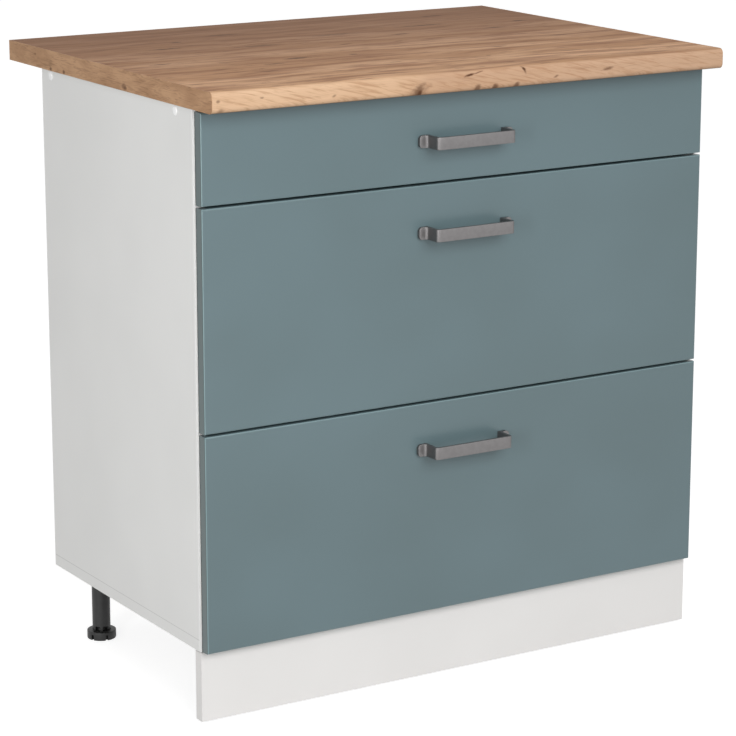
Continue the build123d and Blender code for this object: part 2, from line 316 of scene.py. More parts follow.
def particle_board(tree, place):
    """The flaked core that shows where a board is cut and not banded."""
    chips = add(tree, "ShaderNodeTexVoronoi", {"Vector": place, "Scale": 1 / (2.2 * MM)})
    tone = add(tree, "ShaderNodeSeparateColor", {0: chips.outputs["Color"]})
    return add(
        tree, "ShaderNodeMix",
        {MIX_FACTOR: tone, MIX_A: linear("#D2B48A"), MIX_B: linear("#8F7049")},
        data_type="RGBA",
    ).outputs[MIX_COLOUR]


def facing_any(tree, directions):
    """1 where the surface faces one of the directions, given as an axis name and a sign."""
    axes = add(
        tree, "ShaderNodeSeparateXYZ", {0: add(tree, "ShaderNodeTexCoord").outputs["Normal"]}
    ).outputs
    total = 0.0
    for axis, sign in directions:
        part = add(
            tree, "ShaderNodeMapRange",
            {"Value": axes[axis], "From Min": sign * 0.8, "From Max": sign * 0.9},
            interpolation_type="SMOOTHSTEP",
        )
        total = add(tree, "ShaderNodeMath", {0: part, 1: total}, operation="ADD", use_clamp=True)
    return total


REAR, FRONT = ("Y", 1), ("Y", -1)
LEFT, RIGHT = ("X", -1), ("X", 1)
UP, DOWN = ("Z", 1), ("Z", -1)
print("Streaks wave by up to", WAVE, "mm to either side")

# %% [markdown]
# ## The laminate itself
#
# The print has three families of streaks, from hand-wide shades down to pores, and a few short
# dark checks. Over the nose the pores run at a slant, as on a sawn board edge, and its tones are
# paler, partly print and partly a painted highlight on the nose that faces the front lamp.
# A pressed laminate is satin: it reflects softly and little, so its specular level is low. Its
# marks are places on the sheet in millimetres, with a length, a width, a turn in degrees and a
# depth of tone from 0 to 1.

# %% Oak laminate
WORKTOP_LOW, WORKTOP_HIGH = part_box("worktop")
NOSE_DEPTH = 7.0 * MM
SAPWOOD_X, HEARTWOOD_X = -150 * MM, -60 * MM
SLANT_OF_NOSE_GRAIN = math.radians(15)
NOSE_MARKS = (
    (-96, -320, 48, 26, 15, 0.5), (-98, -322, 26, 16, 40, 0.5), (-95, -324, 12, 10, 0, 0.9),
    (-18, -306, 30, 6.5, 12, 1.0), (-4, -303, 26, 4, 18, 0.7), (68, -304, 22, 7, -62, 0.95),
    (-5, -323, 16, 14, 30, 0.7), (23, -325, 16, 14, 30, 0.8), (57, -325, 15, 12, 30, 0.75),
    (205, -314, 26, 7, 10, 0.7), (-388, -326, 18, 13, 0, 0.5), (-393, -312, 9, 6, 0, 0.6),
    (-330, -312, 9, 4, 0, 0.5), (-225, -318, 10, 5, 20, 0.5), (120, -318, 14, 5, 20, 0.6),
)
TOP_MARKS = (
    (-150, -80, 70, 24, 2, 0.75), (-66, -84, 20, 12, -12, 0.95), (185, 135, 130, 13, 1, 0.8),
    (104, 66, 60, 16, 3, 0.7), (-205, -112, 60, 12, 0, 0.6), (85, -190, 12, 9, 0, 0.8),
    (-335, -40, 60, 14, 0, 0.7), (-260, 96, 90, 13, 2, 0.8), (300, -60, 80, 12, -2, 0.6),
    (-20, 12, 34, 10, 4, 0.8), (260, 225, 70, 14, 0, 0.8), (-120, 190, 100, 13, -2, 0.8),
    (-215, 150, 30, 12, 5, 0.9), (-130, 60, 110, 26, 3, 0.5), (20, 110, 150, 30, 0, 0.4),
    (-245, -170, 60, 10, 0, 0.75), (150, -120, 40, 9, 3, 0.8), (265, 60, 60, 14, 0, 0.7),
    (210, -205, 70, 8, -2, 0.6), (-60, -180, 44, 9, 0, 0.6), (340, 110, 40, 16, 2, 0.8),
)


def over_the_nose(tree, axes):
    """The distance along the sheet: Y on the top, and on down the front face."""
    below_top = add(tree, "ShaderNodeMath", {0: axes["Z"], 1: WORKTOP_HIGH.z}, operation="SUBTRACT")
    return add(tree, "ShaderNodeMath", {0: axes["Y"], 1: below_top}, operation="ADD")


def oak_laminate():
    material, tree, shader = finish(
        "oak_decor_laminate_pressed", Roughness=0.62, Specular_IOR_Level=0.10
    )
    axes = add(
        tree, "ShaderNodeSeparateXYZ", {0: add(tree, "ShaderNodeTexCoord").outputs["Object"]}
    ).outputs
    flat = add(tree, "ShaderNodeCombineXYZ", {"X": axes["X"], "Y": over_the_nose(tree, axes)})
    waved = gently_waved(tree, flat)
    patches = clouds(tree, waved, (520, 60, 900), 0.40, 0.60)
    streaks = clouds(tree, waved, (170, 19, 900), 0.44, 0.64)
    lines = clouds(tree, waved, (84, 5.5, 900), 0.54, 0.72)
    checks = clouds(tree, waved, (46, 4.6, 900), 0.59, 0.70, detail=2.0)
    pores = clouds(tree, waved, (46, 1.4, 900), 0.56, 0.74, detail=2.0)

    top = add(
        tree, "ShaderNodeMix",
        {MIX_FACTOR: patches, MIX_A: linear("#BC8F69"), MIX_B: linear("#DAAE89")},
        data_type="RGBA",
    ).outputs[MIX_COLOUR]
    top = tinted(tree, top, streaks, 0.66, "#8C5D3E")
    top = tinted(tree, top, lines, 0.46, "#754B33")
    top = tinted(tree, top, checks, 0.72, "#65402B")
    # Painted shade: the top darkens towards the wall, as the light falls off there.
    painted_shade_to_wall = add(
        tree, "ShaderNodeMapRange",
        {
            "Value": axes["Y"], "From Min": WORKTOP_LOW.y, "From Max": WORKTOP_HIGH.y,
            "To Min": 0.0, "To Max": 0.8,
        },
        interpolation_type="SMOOTHSTEP",
    )
    top = add(
        tree, "ShaderNodeMix",
        {MIX_FACTOR: painted_shade_to_wall, MIX_A: top, MIX_B: linear("#775137")},
        data_type="RGBA",
    ).outputs[MIX_COLOUR]

    slanted = add(tree, "ShaderNodeMapping", {"Vector": flat, "Rotation": (0, 0, SLANT_OF_NOSE_GRAIN)})
    arches = clouds(tree, slanted, (40, 3.4, 900), 0.46, 0.70, detail=4.0, distortion=0.9)
    along = add(
        tree, "ShaderNodeMapRange",
        {"Value": axes["X"], "From Min": SAPWOOD_X, "From Max": HEARTWOOD_X},
        interpolation_type="SMOOTHSTEP",
    )
    # The nose's paler tones are partly print and partly a painted highlight on the front-facing nose.
    nose = add(
        tree, "ShaderNodeMix",
        {MIX_FACTOR: along, MIX_A: linear("#DFBC9B"), MIX_B: linear("#C9A588")},
        data_type="RGBA",
    ).outputs[MIX_COLOUR]
    nose = tinted(tree, nose, patches, 0.30, "#C09672")
    nose = tinted(tree, nose, arches, 0.46, "#A27552")

    on_nose = add(
        tree, "ShaderNodeMapRange",
        {
            "Value": axes["Y"], "From Min": WORKTOP_LOW.y + NOSE_DEPTH,
            "From Max": WORKTOP_LOW.y + 0.2 * NOSE_DEPTH,
        },
        interpolation_type="SMOOTHSTEP",
    )
    colour = add(
        tree, "ShaderNodeMix", {MIX_FACTOR: on_nose, MIX_A: top, MIX_B: nose}, data_type="RGBA"
    ).outputs[MIX_COLOUR]
    colour = tinted(tree, colour, pores, 0.28, "#86644C")
    for marks, tint in ((NOSE_MARKS, "#5C3C29"), (TOP_MARKS, "#4A2C1D")):
        for oval in marks:
            colour = mark(tree, colour, flat, tint, *oval)
    colour = add(
        tree, "ShaderNodeMix",
        {MIX_FACTOR: facing_any(tree, (REAR,)), MIX_A: colour, MIX_B: particle_board(tree, flat)},
        data_type="RGBA",
    ).outputs[MIX_COLOUR]
    # The underside is backing paper, made dark brown as painted shade for the line under the nose.
    colour = add(
        tree, "ShaderNodeMix",
        {MIX_FACTOR: facing_any(tree, (DOWN,)), MIX_A: colour, MIX_B: linear("#8A735F")},
        data_type="RGBA",
    ).outputs[MIX_COLOUR]
    coat(tree, shader, colour, pores, -0.03)
    return material


oak_sheet = oak_laminate()
print(len(NOSE_MARKS + TOP_MARKS), "marks on the laminate, made by", len(oak_sheet.node_tree.nodes), "nodes")

# %% [markdown]
# ## Worktop ends: oak decor band
#
# Each cut end of the worktop has a glued band printed with the same oak, whose figure swirls here
# like end grain. The noise is stretched less than on the top, and is distorted, which bends its
# lines into eddies.

# %% Oak end band
BAND_MARKS = (
    (165, 825, 14, 10, 0, 0.8), (123, 825, 14, 11, 0, 0.8), (-59, 828, 20, 20, 60, 0.6),
    (-62, 826, 14, 7, 0, 0.5), (214, 840, 7, 5, 0, 0.8), (165, 832, 16, 22, 90, 0.25),
)


def oak_band():
    material, tree, shader = finish(
        "oak_decor_band_printed", Roughness=0.62, Specular_IOR_Level=0.15
    )
    axes = add(
        tree, "ShaderNodeSeparateXYZ", {0: add(tree, "ShaderNodeTexCoord").outputs["Object"]}
    ).outputs
    flat = add(tree, "ShaderNodeCombineXYZ", {"X": axes["Y"], "Y": axes["Z"]})
    swirls = clouds(tree, flat, (95, 30, 900), 0.34, 0.66, distortion=1.6)
    lines = clouds(tree, flat, (38, 3.6, 900), 0.50, 0.66, detail=4.0, distortion=1.8)
    colour = add(
        tree, "ShaderNodeMix",
        {MIX_FACTOR: swirls, MIX_A: linear("#B18A69"), MIX_B: linear("#C79F7C")},
        data_type="RGBA",
    ).outputs[MIX_COLOUR]
    colour = tinted(tree, colour, lines, 0.50, "#8A664B")
    for oval in BAND_MARKS:
        colour = mark(tree, colour, flat, "#5A3B29", *oval)
    coat(tree, shader, colour, lines, -0.03)
    return material


oak_ends = oak_band()
print(oak_ends.name, "has", len(BAND_MARKS), "marks")

# %% [markdown]
# ## Carcass, plinth and drawer boards: white melamine
#
# The boards are particle board faced with white melamine paper. It is pressed against a steel
# plate with a fine pearl texture, which breaks up reflections. The carcass boards have a plastic
# band on their front edges, painted brighter than the faces as a painted highlight. The edges left
# raw show the flaked core, and are told from the faces by their direction. Where a side stands on
# the bottom, the eased edges of both boards show as a hairline on the outside.

# %% White melamine
FLOOR_JOINT_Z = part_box("bottom_panel")[1].z
JOINT_HALF = 0.5 * MM
BAND_THICKNESS = 2.0 * MM
BAND_BACK_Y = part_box("side_left")[0].y + BAND_THICKNESS


def melamine(name, raw_edges, band_painted_bright=False, tones=("#E8E8E6", "#EDEDEB")):
    """White faces, a front-edge band painted brighter as a highlight, and raw cut edges."""
    material, tree, shader = finish(name, Roughness=0.38)
    place = add(tree, "ShaderNodeTexCoord").outputs["Object"]
    axes = add(tree, "ShaderNodeSeparateXYZ", {0: place}).outputs
    pearl = grain(tree, place, (1.6, 1.6, 1.6), 2.0)
    shades = clouds(tree, place, (240, 240, 240), 0.3, 0.7, detail=2.0)
    colour = add(
        tree, "ShaderNodeMix",
        {MIX_FACTOR: shades, MIX_A: linear(tones[0]), MIX_B: linear(tones[1])},
        data_type="RGBA",
    ).outputs[MIX_COLOUR]
    joint = add(
        tree, "ShaderNodeMath", {0: axes["Z"], 1: FLOOR_JOINT_Z, 2: JOINT_HALF}, operation="COMPARE"
    )
    outsides = facing_any(tree, (LEFT, RIGHT))
    hairline = add(tree, "ShaderNodeMath", {0: joint, 1: outsides}, operation="MULTIPLY")
    colour = tinted(tree, colour, hairline, 0.5, "#A8A8A6")
    # Partly a real edge band, partly a painted highlight: the front 2 mm are painted brighter.
    if band_painted_bright:
        band = add(tree, "ShaderNodeMath", {0: axes["Y"], 1: BAND_BACK_Y}, operation="LESS_THAN")
        colour = add(
            tree, "ShaderNodeMix",
            {MIX_FACTOR: band, MIX_A: colour, MIX_B: linear("#FBFBFA")},
            data_type="RGBA",
        ).outputs[MIX_COLOUR]
    colour = add(
        tree, "ShaderNodeMix",
        {
            MIX_FACTOR: facing_any(tree, raw_edges), MIX_A: colour,
            MIX_B: particle_board(tree, place),
        },
        data_type="RGBA",
    ).outputs[MIX_COLOUR]
    coat(tree, shader, colour, pearl, 0.02)
    return material


carcass_board = melamine("melamine_board_rear_edge_raw", (REAR,), band_painted_bright=True)
drawer_bottom_board = melamine("melamine_board_cut_to_size", (REAR, LEFT, RIGHT))
drawer_rear_board = melamine("melamine_board_ends_raw", (LEFT, RIGHT))
plinth_board = melamine("melamine_plinth_foiled_round", (), tones=("#E8E6E4", "#ECEAE8"))
print("Four boards of melamine, joint line at", round(FLOOR_JOINT_Z / MM), "mm above the floor")

# %% [markdown]
# ## Back panel: thin fibreboard
#
# The back is a thin fibreboard sheet. Its inner face is lacquered white, and its rear face is the
# bare brown board, fibrous and a little cloudy.

# %% Fibreboard back
def fibreboard():
    material, tree, shader = finish("fibreboard_white_lacquered", Roughness=0.55)
    place = add(tree, "ShaderNodeTexCoord").outputs["Object"]
    fibres = grain(tree, place, (2.5, 2.5, 2.5), 4.0, roughness=0.7)
    cloud = grain(tree, place, (60, 60, 60), 3.0)
    bare = add(
        tree, "ShaderNodeMix",
        {MIX_FACTOR: fibres, MIX_A: linear("#8A6A4A"), MIX_B: linear("#A98761")},
        data_type="RGBA",
    ).outputs[MIX_COLOUR]
    cloudy = add(
        tree, "ShaderNodeMapRange",
        {"Value": cloud, "From Min": 0.3, "From Max": 0.7, "To Min": 0.0, "To Max": 0.25},
        interpolation_type="SMOOTHSTEP",
    )
    bare = add(
        tree, "ShaderNodeMix",
        {MIX_FACTOR: cloudy, MIX_A: bare, MIX_B: linear("#755538")},
        data_type="RGBA",
    ).outputs[MIX_COLOUR]
    colour = add(
        tree, "ShaderNodeMix",
        {MIX_FACTOR: facing_any(tree, (REAR,)), MIX_A: linear("#ECECE8"), MIX_B: bare},
        data_type="RGBA",
    ).outputs[MIX_COLOUR]
    coat(tree, shader, colour, fibres, 0.05)
    return material


back_sheet = fibreboard()
print(back_sheet.name, "is bare on its rear face")

# %% [markdown]
# ## Drawer fronts: satin foil on fibreboard
#
# The fronts are fibreboard pressed under a blue-grey satin foil that wraps the rounded face edges.
# Foil follows the tool closely, so it has only a very faint orange peel. The rounded edges carry a
# painted highlight, a paler tone, and the flat ends a painted shade, a darker tone. A dark band on
# the last 2 mm before the rear face is painted shade for the gap to the carcass, and that face keeps
# white melamine.

# %% Blue-grey foil
# Painted shade: the last 2 mm of each front before its rear face are darkened, for the shade in the gap to
# the carcass.
GAP_SHADE_DEPTH = 2.0 * MM
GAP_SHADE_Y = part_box("top_drawer_front")[1].y - GAP_SHADE_DEPTH


def satin_foil():
    material, tree, shader = finish("fibreboard_foil_satin_blue_grey", Roughness=0.29)
    place = add(tree, "ShaderNodeTexCoord").outputs["Object"]
    peel = grain(tree, place, (5, 5, 5), 2.0)
    shades = clouds(tree, place, (300, 300, 220), 0.3, 0.7, detail=2.0)
    colour = add(
        tree, "ShaderNodeMix",
        {MIX_FACTOR: shades, MIX_A: linear("#5F7276"), MIX_B: linear("#63777C")},
        data_type="RGBA",
    ).outputs[MIX_COLOUR]
    # Painted highlight: the rounded edges, where no face looks along an axis, are pulled towards a paler
    # tone.
    flat_faces = facing_any(tree, (FRONT, REAR, LEFT, RIGHT, UP, DOWN))
    painted_edge_highlight = add(
        tree, "ShaderNodeMapRange",
        {"Value": flat_faces, "From Min": 1.0, "From Max": 0.0},
        interpolation_type="SMOOTHSTEP",
    )
    colour = tinted(tree, colour, painted_edge_highlight, 0.85, "#839C9F")
    # Painted shade: the flat ends that face left and right are darkened.
    colour = add(
        tree, "ShaderNodeMix",
        {MIX_FACTOR: facing_any(tree, (LEFT, RIGHT)), MIX_A: colour, MIX_B: linear("#4F6061")},
        data_type="RGBA",
    ).outputs[MIX_COLOUR]
    axes = add(tree, "ShaderNodeSeparateXYZ", {0: place}).outputs
    # Painted shade of the gap to the carcass: a dark band near the rear face.
    painted_gap_shade = add(tree, "ShaderNodeMath", {0: axes["Y"], 1: GAP_SHADE_Y}, operation="GREATER_THAN")
    colour = tinted(tree, colour, painted_gap_shade, 0.8, "#242C2D")
    colour = add(
        tree, "ShaderNodeMix",
        {MIX_FACTOR: facing_any(tree, (REAR,)), MIX_A: colour, MIX_B: linear("#E9E9E6")},
        data_type="RGBA",
    ).outputs[MIX_COLOUR]
    coat(tree, shader, colour, peel, 0.02)
    return material


front_foil = satin_foil()
# The printed length is the depth of the painted gap shade.
print("Foil trimmed", round(GAP_SHADE_DEPTH / MM), "mm before the rear face")

# %% [markdown]
# ## Metals, plastics and rubber
#
# The handle is zinc alloy, die-cast, tumbled and plated to satin nickel: its relief is a fine
# shot-blast grain. Runners are folded steel under white powder coat, which shrinks to a faint
# orange peel as it cures. Brackets and screws are bright zinc plate with its cloudy spangle.
# Legs and feet are black moulded plastic, textured by the mould.

# %% Small finishes
def grainy(name, base, other, size_mm, depth_mm, **uniform):
    """A finish of two close tones, with a grain of one size as its relief."""
    material, tree, shader = finish(name, **uniform)
    place = add(tree, "ShaderNodeTexCoord").outputs["Object"]
    fine = grain(tree, place, (size_mm,) * 3, 3.0)
    shades = clouds(tree, place, (8 * size_mm,) * 3, 0.35, 0.65, detail=2.0)
    colour = add(
        tree, "ShaderNodeMix",
        {MIX_FACTOR: shades, MIX_A: linear(base), MIX_B: linear(other)},
        data_type="RGBA",
    ).outputs[MIX_COLOUR]
    coat(tree, shader, colour, fine, depth_mm)
    return material


satin_nickel = grainy(
    "zinc_alloy_die_cast_satin_nickel", "#777575", "#7B7979", 0.8, 0.01, Metallic=1.0, Roughness=0.52
)
powder_coat = grainy(
    "steel_folded_white_powder_coat", "#EAEAE7", "#ECECE9", 2.0, 0.006, Roughness=0.38
)
zinc_plate = grainy(
    "steel_pressed_zinc_plated", "#A9ABAD", "#BFC1C4", 3.0, 0.01, Metallic=1.0, Roughness=0.30
)
nylon = grainy("nylon_moulded_white", "#E6E5DF", "#ECEBE6", 1.0, 0.01, Roughness=0.45)
cap_plastic = grainy("polyethylene_cap_moulded", "#FAFAFA", "#FCFCFC", 1.0, 0.005, Roughness=0.25)
black_moulded = grainy(
    "polypropylene_moulded_black", "#1B1B1B", "#232323", 1.2, 0.04, Roughness=0.48
)
rubber = grainy("polyurethane_buffer_cast", "#B9B9B6", "#C4C4C1", 1.0, 0.01, Roughness=0.30)

SLOT_FINISHES = {
    "oak_worktop": oak_sheet,
    "oak_end_band": oak_ends,
    "white_melamine": carcass_board,
    "back_board": back_sheet,
    "blue_grey_foil": front_foil,
    "nickel_handle": satin_nickel,
    "zinc_steel": zinc_plate,
    "white_steel": powder_coat,
    "white_nylon": nylon,
    "white_cap": cap_plastic,
    "black_plastic": black_moulded,
    "grey_rubber": rubber,
}
NODE_FINISHES = {"plinth": plinth_board}
for level in LEVELS:
    NODE_FINISHES[level + "_drawer_floor"] = drawer_bottom_board
    NODE_FINISHES[level + "_drawer_back"] = drawer_rear_board
for part in frame["record"]["subparts"]:
    node = frame["nodes"][part["node"]]
    node.data.materials.clear()
    node.data.materials.append(NODE_FINISHES.get(part["node"], SLOT_FINISHES[part["material_slot"]]))

# %% [markdown]
# ## A loft for cast and moulded pieces
#
# The handle, and the spindle of a foot, are a closed section that changes along a path. Each could
# be a curve with a bevel, but a curve has one section only. Here a function joins rings of points
# that hold the same count, and closes both ends, so the section may change at every step.

# %% Loft helper
SMOOTH_BELOW = math.radians(32)


def smooth_piece(name, mesh):
    """An object at the origin whose mesh is smooth except across its sharp corners."""
    mesh.polygons.foreach_set("use_smooth", [True] * len(mesh.polygons))
    mesh.set_sharp_from_angle(angle=SMOOTH_BELOW)
    return in_scene(name, mesh)


def loft(rings):
    """Points and faces of a closed skin over rings of equal count, with flat ends."""
    count = len(rings[0])
    points = [point for ring in rings for point in ring]
    faces = [tuple(reversed(range(count)))]
    for row in range(len(rings) - 1):
        for i in range(count):
            j = (i + 1) % count
            low, high = row * count, (row + 1) * count
            faces.append((low + i, low + j, high + j, high + i))
    faces.append(tuple(range(len(points) - count, len(points))))
    return points, faces


def straight(start, end, steps):
    """Points from start to end, both included."""
    return [tuple(a + (b - a) * i / steps for a, b in zip(start, end)) for i in range(steps + 1)]


def arc(middle, radius, start, end, steps):
    """Points on an arc between two angles in degrees, both ends included."""
    angles = [math.radians(start + (end - start) * i / steps) for i in range(steps + 1)]
    return [(middle[0] + radius * math.cos(a), middle[1] + radius * math.sin(a)) for a in angles]


print("Corners of less than", round(math.degrees(SMOOTH_BELOW)), "degrees are shaded smooth")

# %% [markdown]
# ## Handles: die-cast bows
#
# Each handle is a flat strip bent into a bow, with a short flange outside each leg and a soft
# fillet between the two. Seen from above, its outside and inside lines are drawn with the same
# number of points, and a section with softened corners is set between each pair. A Boolean with
# a Bevel would also do, but a bevel fails where its edges are shorter than its width.

# %% Handles
FLANGE = 5.0
FLANGE_LENGTH = 12.0
STRIP = 4.0
CONCAVE_RADIUS = 4.0
CROWN_RADIUS = 5.0
INNER_CROWN_RADIUS = 2.0
FLANGE_CORNER = 4.25
SOFT_EDGE = 0.7
EDGE_STEPS = 4


def bow_lines(outer, reach):
    """The outside and inside lines of half a bow, from its flange's tip to the middle of its bar."""
    inner = outer - STRIP
    tip = outer + FLANGE_LENGTH
    crown = reach - STRIP
    hollow = (outer + CONCAVE_RADIUS, FLANGE + CONCAVE_RADIUS)
    outside = straight((tip, FLANGE), (hollow[0], FLANGE), 8)
    outside += arc(hollow, CONCAVE_RADIUS, 270, 180, 8)[1:]
    outside += straight((outer, hollow[1]), (outer, reach - CROWN_RADIUS), 4)[1:]
    outside += arc((outer - CROWN_RADIUS, reach - CROWN_RADIUS), CROWN_RADIUS, 0, 90, 8)[1:]
    outside += straight((outer - CROWN_RADIUS, reach), (0, reach), 6)[1:]
    inside = straight((tip, 0), (outer, 0), 8)
    inside += straight((outer, 0), (inner, 0), 4)[1:] + straight((inner, 0), (inner, FLANGE), 4)[1:]
    turn = (inner - INNER_CROWN_RADIUS, crown - INNER_CROWN_RADIUS)
    inside += straight((inner, FLANGE), (inner, turn[1]), 4)[1:]
    inside += arc(turn, INNER_CROWN_RADIUS, 0, 90, 8)[1:]
    inside += straight((turn[0], crown), (0, crown), 6)[1:]
    return outside, inside


def section(outside, inside, half_height):
    """A ring around the strip between its two lines, with softened long edges."""
    out, back = Vector(outside), Vector(inside)
    inward = (back - out).normalized()
    corners = ((out, inward, 1), (out, inward, -1), (back, -inward, -1), (back, -inward, 1))
    ring = []
    for number, (corner, direction, side) in enumerate(corners):
        for step in range(EDGE_STEPS + 1):
            angle = math.radians(90) * (step if number % 2 else EDGE_STEPS - step) / EDGE_STEPS
            flat = corner + direction * SOFT_EDGE * (1 - math.cos(angle))
            ring.append((flat.x, flat.y, side * (half_height - SOFT_EDGE * (1 - math.sin(angle)))))
    return ring


def handle(level):
    node = level + "_handle"
    low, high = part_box(node)
    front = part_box(level + "_drawer_front")[0].y
    half_height = (high.z - low.z) / 2 / MM
    reach = (front - low.y) / MM
    tip = (high.x - low.x) / 2 / MM
    rings = []
    for out, back in zip(*bow_lines(tip - FLANGE_LENGTH, reach)):
        into_corner = max(0.0, FLANGE_CORNER - (tip - max(out[0], back[0])))
        height = half_height - FLANGE_CORNER + math.sqrt(FLANGE_CORNER ** 2 - into_corner ** 2)
        rings.append(section(out, back, height))
    rings += [[(-x, y, z) for x, y, z in ring] for ring in reversed(rings[:-1])]
    place = Matrix.Translation((0, front, (low.z + high.z) / 2)) @ Matrix.Diagonal((MM, -MM, MM, 1))
    points, faces = loft([[place @ Vector(point) for point in ring] for ring in rings])
    mesh = bpy.data.meshes.new(level + "_handle_cast")
    mesh.from_pydata(points, [], faces)
    mesh.materials.append(satin_nickel)
    piece = smooth_piece(mesh.name, mesh)
    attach(piece, level + "_drawer")
    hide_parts(node)
    print(piece.name, len(rings), "sections, reach", round(reach, 1), "mm")


for level in LEVELS:
    handle(level)

# %% [markdown]
# ## Geometry Nodes helpers
#
# Legs, notches, screws and caps all repeat, so Geometry Nodes place them. A tree is built here
# like a material: named inputs first, then a chain of nodes. A modifier takes its inputs by the
# socket's identifier. The result is taken from the evaluated object as a plain mesh.

# %% Geometry Nodes helpers
INPUT_KINDS = {
    float: "NodeSocketFloat", int: "NodeSocketInt", bool: "NodeSocketBool",
    bpy.types.Material: "NodeSocketMaterial",
}


def new_tree(name, inputs):
    """A tree with a geometry input and output, and a named input for each given default."""
    tree = bpy.data.node_groups.new(name, "GeometryNodeTree")
    tree.interface.new_socket("Geometry", in_out="INPUT", socket_type="NodeSocketGeometry")
    for label, default in inputs.items():
        kind = INPUT_KINDS[bpy.types.Material if default is None else type(default)]
        socket = tree.interface.new_socket(label, in_out="INPUT", socket_type=kind)
        if default is not None:
            socket.default_value = default
    tree.interface.new_socket("Geometry", in_out="OUTPUT", socket_type="NodeSocketGeometry")
    return tree, tree.nodes.new("NodeGroupInput").outputs


def finish_tree(tree, geometry, material):
    """Ends a tree: instances become real, and everything takes the material."""
    real = add(tree, "GeometryNodeRealizeInstances", {0: geometry})
    painted = add(tree, "GeometryNodeSetMaterial", {"Geometry": real, "Material": material})
    add(tree, "NodeGroupOutput", {0: painted})


def grow(name, base, tree, values):
    """Runs a tree on a base mesh and keeps the result as a plain mesh object."""
    carrier = in_scene(name + "_carrier", base)
    modifier = carrier.modifiers.new("grow", "NODES")
    modifier.node_group = tree
    for item in tree.interface.items_tree:
        if item.in_out == "INPUT" and item.name in values:
            modifier[item.identifier] = values[item.name]
    evaluated = carrier.evaluated_get(bpy.context.evaluated_depsgraph_get())
    mesh = bpy.data.meshes.new_from_object(evaluated)
    mesh.name = name
    carrier.modifiers.remove(modifier)
    bpy.data.objects.remove(carrier)
    print(name, len(mesh.polygons), "faces")
    return smooth_piece(name, mesh)


def lifted(tree, geometry, height):
    upwards = add(tree, "ShaderNodeCombineXYZ", {"Z": height})
    return add(tree, "GeometryNodeTransform", {"Geometry": geometry, "Translation": upwards})


def cut_away(tree, geometry, tools):
    """The geometry after every tool's shape is taken from it."""
    cut = add(tree, "GeometryNodeMeshBoolean", {"Mesh 1": geometry}, operation="DIFFERENCE")
    for tool in tools:
        link(tree, add(tree, "GeometryNodeRealizeInstances", {0: tool}), cut.inputs["Mesh 2"])
    return cut


def cutters(tree, count, radius, turn, size, height):
    """Blocks of one size, spaced evenly round the axis at one radius and height."""
    step = add(tree, "ShaderNodeMath", {0: 2 * math.pi, 1: count}, operation="DIVIDE")
    angle = add(
        tree, "ShaderNodeMath",
        {0: add(tree, "GeometryNodeInputIndex"), 1: step, 2: turn},
        operation="MULTIPLY_ADD",
    )
    cosine = add(tree, "ShaderNodeMath", {0: angle}, operation="COSINE")
    sine = add(tree, "ShaderNodeMath", {0: angle}, operation="SINE")
    along = add(tree, "ShaderNodeMath", {0: cosine, 1: radius}, operation="MULTIPLY")
    aside = add(tree, "ShaderNodeMath", {0: sine, 1: radius}, operation="MULTIPLY")
    place = add(tree, "ShaderNodeCombineXYZ", {"X": along, "Y": aside, "Z": height})
    spots = add(tree, "GeometryNodePoints", {"Count": count, "Position": place})
    cube = add(tree, "GeometryNodeMeshCube", {"Size": size})
    turned = add(tree, "ShaderNodeCombineXYZ", {"Z": angle})
    return add(
        tree, "GeometryNodeInstanceOnPoints",
        {"Points": spots, "Instance": cube, "Rotation": turned},
    )


def points_at(name, places):
    """A mesh of loose points, with an attribute that gives the way each one faces."""
    mesh = bpy.data.meshes.new(name)
    mesh.from_pydata([place for place, _ in places], [], [])
    facing = mesh.attributes.new("facing", "FLOAT_VECTOR", "POINT")
    facing.data.foreach_set("vector", [value for _, way in places for value in way])
    return mesh


print("Trees take inputs of", len(INPUT_KINDS), "kinds")

# %% [markdown]
# ## Legs: moulded sockets
#
# Each leg is one black moulding: a square plate that is screwed under the bottom panel, a tube
# with the thread for the foot, and thin gussets between them that stop the tube from snapping off.
# A section swept along a line makes the plate, a section swept round a circle makes the tube, and
# one tapered gusset is repeated on the points of a circle. Two pairs of windows, cut from the end
# of the tube, let the thread shed dirt. The same leg then stands at four points.

# %% Legs
LEG_LOW, LEG_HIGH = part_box("legs")
FOOT_NAMES = ("foot_front_left", "foot_front_right", "foot_rear_left", "foot_rear_right")
FOOT_BOXES = {name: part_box(name) for name in FOOT_NAMES}
FOOT_CENTRES = {name: (low + high) / 2 for name, (low, high) in FOOT_BOXES.items()}
PLATE_WIDTH = 60.0 * MM
PLATE_THICKNESS = 4.0 * MM
TUBE_RADIUS = 13.0 * MM
BORE_RADIUS = 9.3 * MM
TUBE_LENGTH = LEG_HIGH.z - PLATE_THICKNESS - LEG_LOW.z
GUSSET_TAPER = 0.8


